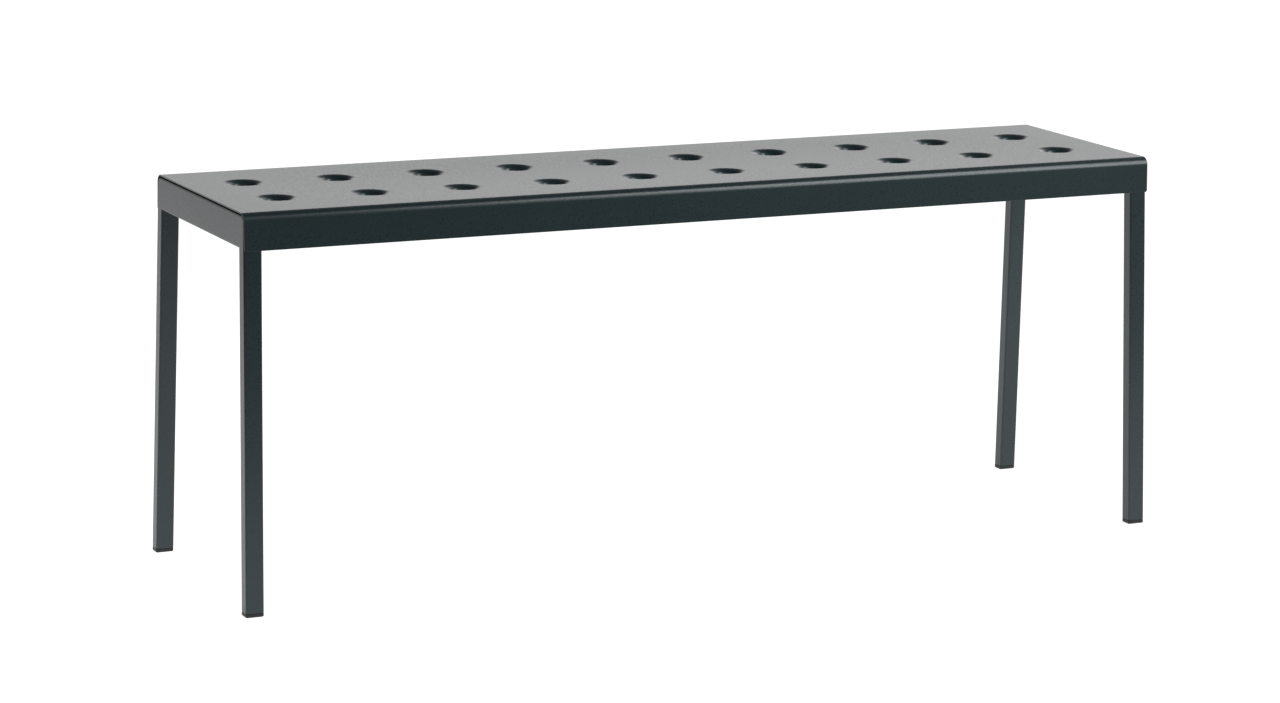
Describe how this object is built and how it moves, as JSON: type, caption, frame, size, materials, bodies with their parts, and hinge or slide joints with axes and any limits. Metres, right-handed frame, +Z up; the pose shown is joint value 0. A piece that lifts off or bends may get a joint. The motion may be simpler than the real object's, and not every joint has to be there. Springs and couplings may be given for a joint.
{
  "type": "backless bench",
  "caption": "Backless outdoor bench: folded steel seat panel with two rows of pressed drain dimples on inverted-U end frames of rectangular tube with plastic foot caps.",
  "frame": {"origin": "on the floor, under the middle of the seat", "axes": "+X along the seat, +Y to the rear, +Z up"},
  "size_m": [1.197, 0.3378, 0.464],
  "materials": {
    "powder_coat": "fine-textured satin powder coat, dark grey green",
    "zinc_plate": "zinc-plated steel",
    "foot_plastic": "moulded black polyethylene"
  },
  "bodies": {
    "root": {"seat_sheet": "powder_coat", "cross_brace_left": "powder_coat", "cross_brace_right": "powder_coat", "mounting_angle_left": "powder_coat", "mounting_angle_right": "powder_coat", "end_rail_left": "powder_coat", "end_rail_right": "powder_coat", "leg_front_left": "powder_coat", "leg_front_right": "powder_coat", "leg_rear_left": "powder_coat", "leg_rear_right": "powder_coat", "mounting_screws_left": "zinc_plate", "mounting_screws_right": "zinc_plate", "washers_left": "zinc_plate", "washers_right": "zinc_plate", "weld_nuts_left": "zinc_plate", "weld_nuts_right": "zinc_plate", "foot_cap_front_left": "foot_plastic", "foot_cap_front_right": "foot_plastic", "foot_cap_rear_left": "foot_plastic", "foot_cap_rear_right": "foot_plastic"}
  },
  "joints": []
}
